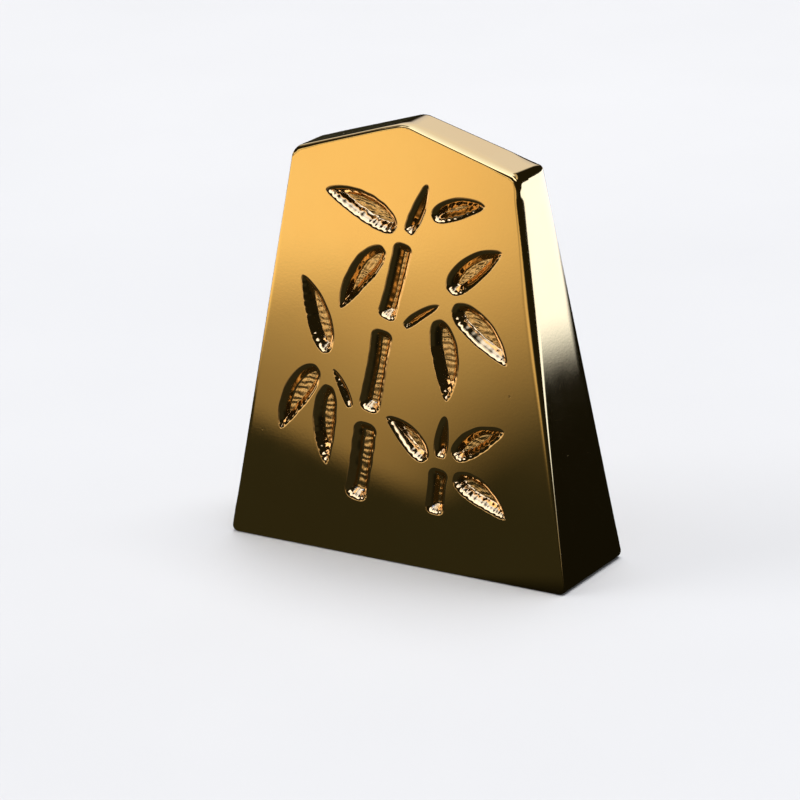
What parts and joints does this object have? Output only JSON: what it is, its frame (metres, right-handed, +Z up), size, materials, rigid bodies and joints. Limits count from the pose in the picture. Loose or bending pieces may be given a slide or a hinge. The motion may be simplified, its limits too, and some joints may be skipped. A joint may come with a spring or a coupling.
{
  "type": "shogi piece",
  "caption": "Five-sided wedge-shaped metal shogi piece, gold plated over a solid brass core, with a milled leaf ornament on its faces; lies on a board or stands on its base.",
  "frame": {"origin": "middle of the base, at the plane the piece stands on", "axes": "+Z up from the base to the ridge, -Y out of the front face as seen in the picture, +X to the right of that face"},
  "size_m": [0.0274, 0.0086, 0.031],
  "materials": {
    "core_brass": "machined, hidden under the plating",
    "nickel": "bright nickel, hidden under the gold",
    "gold": "polished gold plate, with finely tooled strokes"
  },
  "bodies": {
    "root": {"brass_core": "core_brass", "nickel_underplate": "nickel", "gold_plate": "gold"}
  },
  "joints": []
}
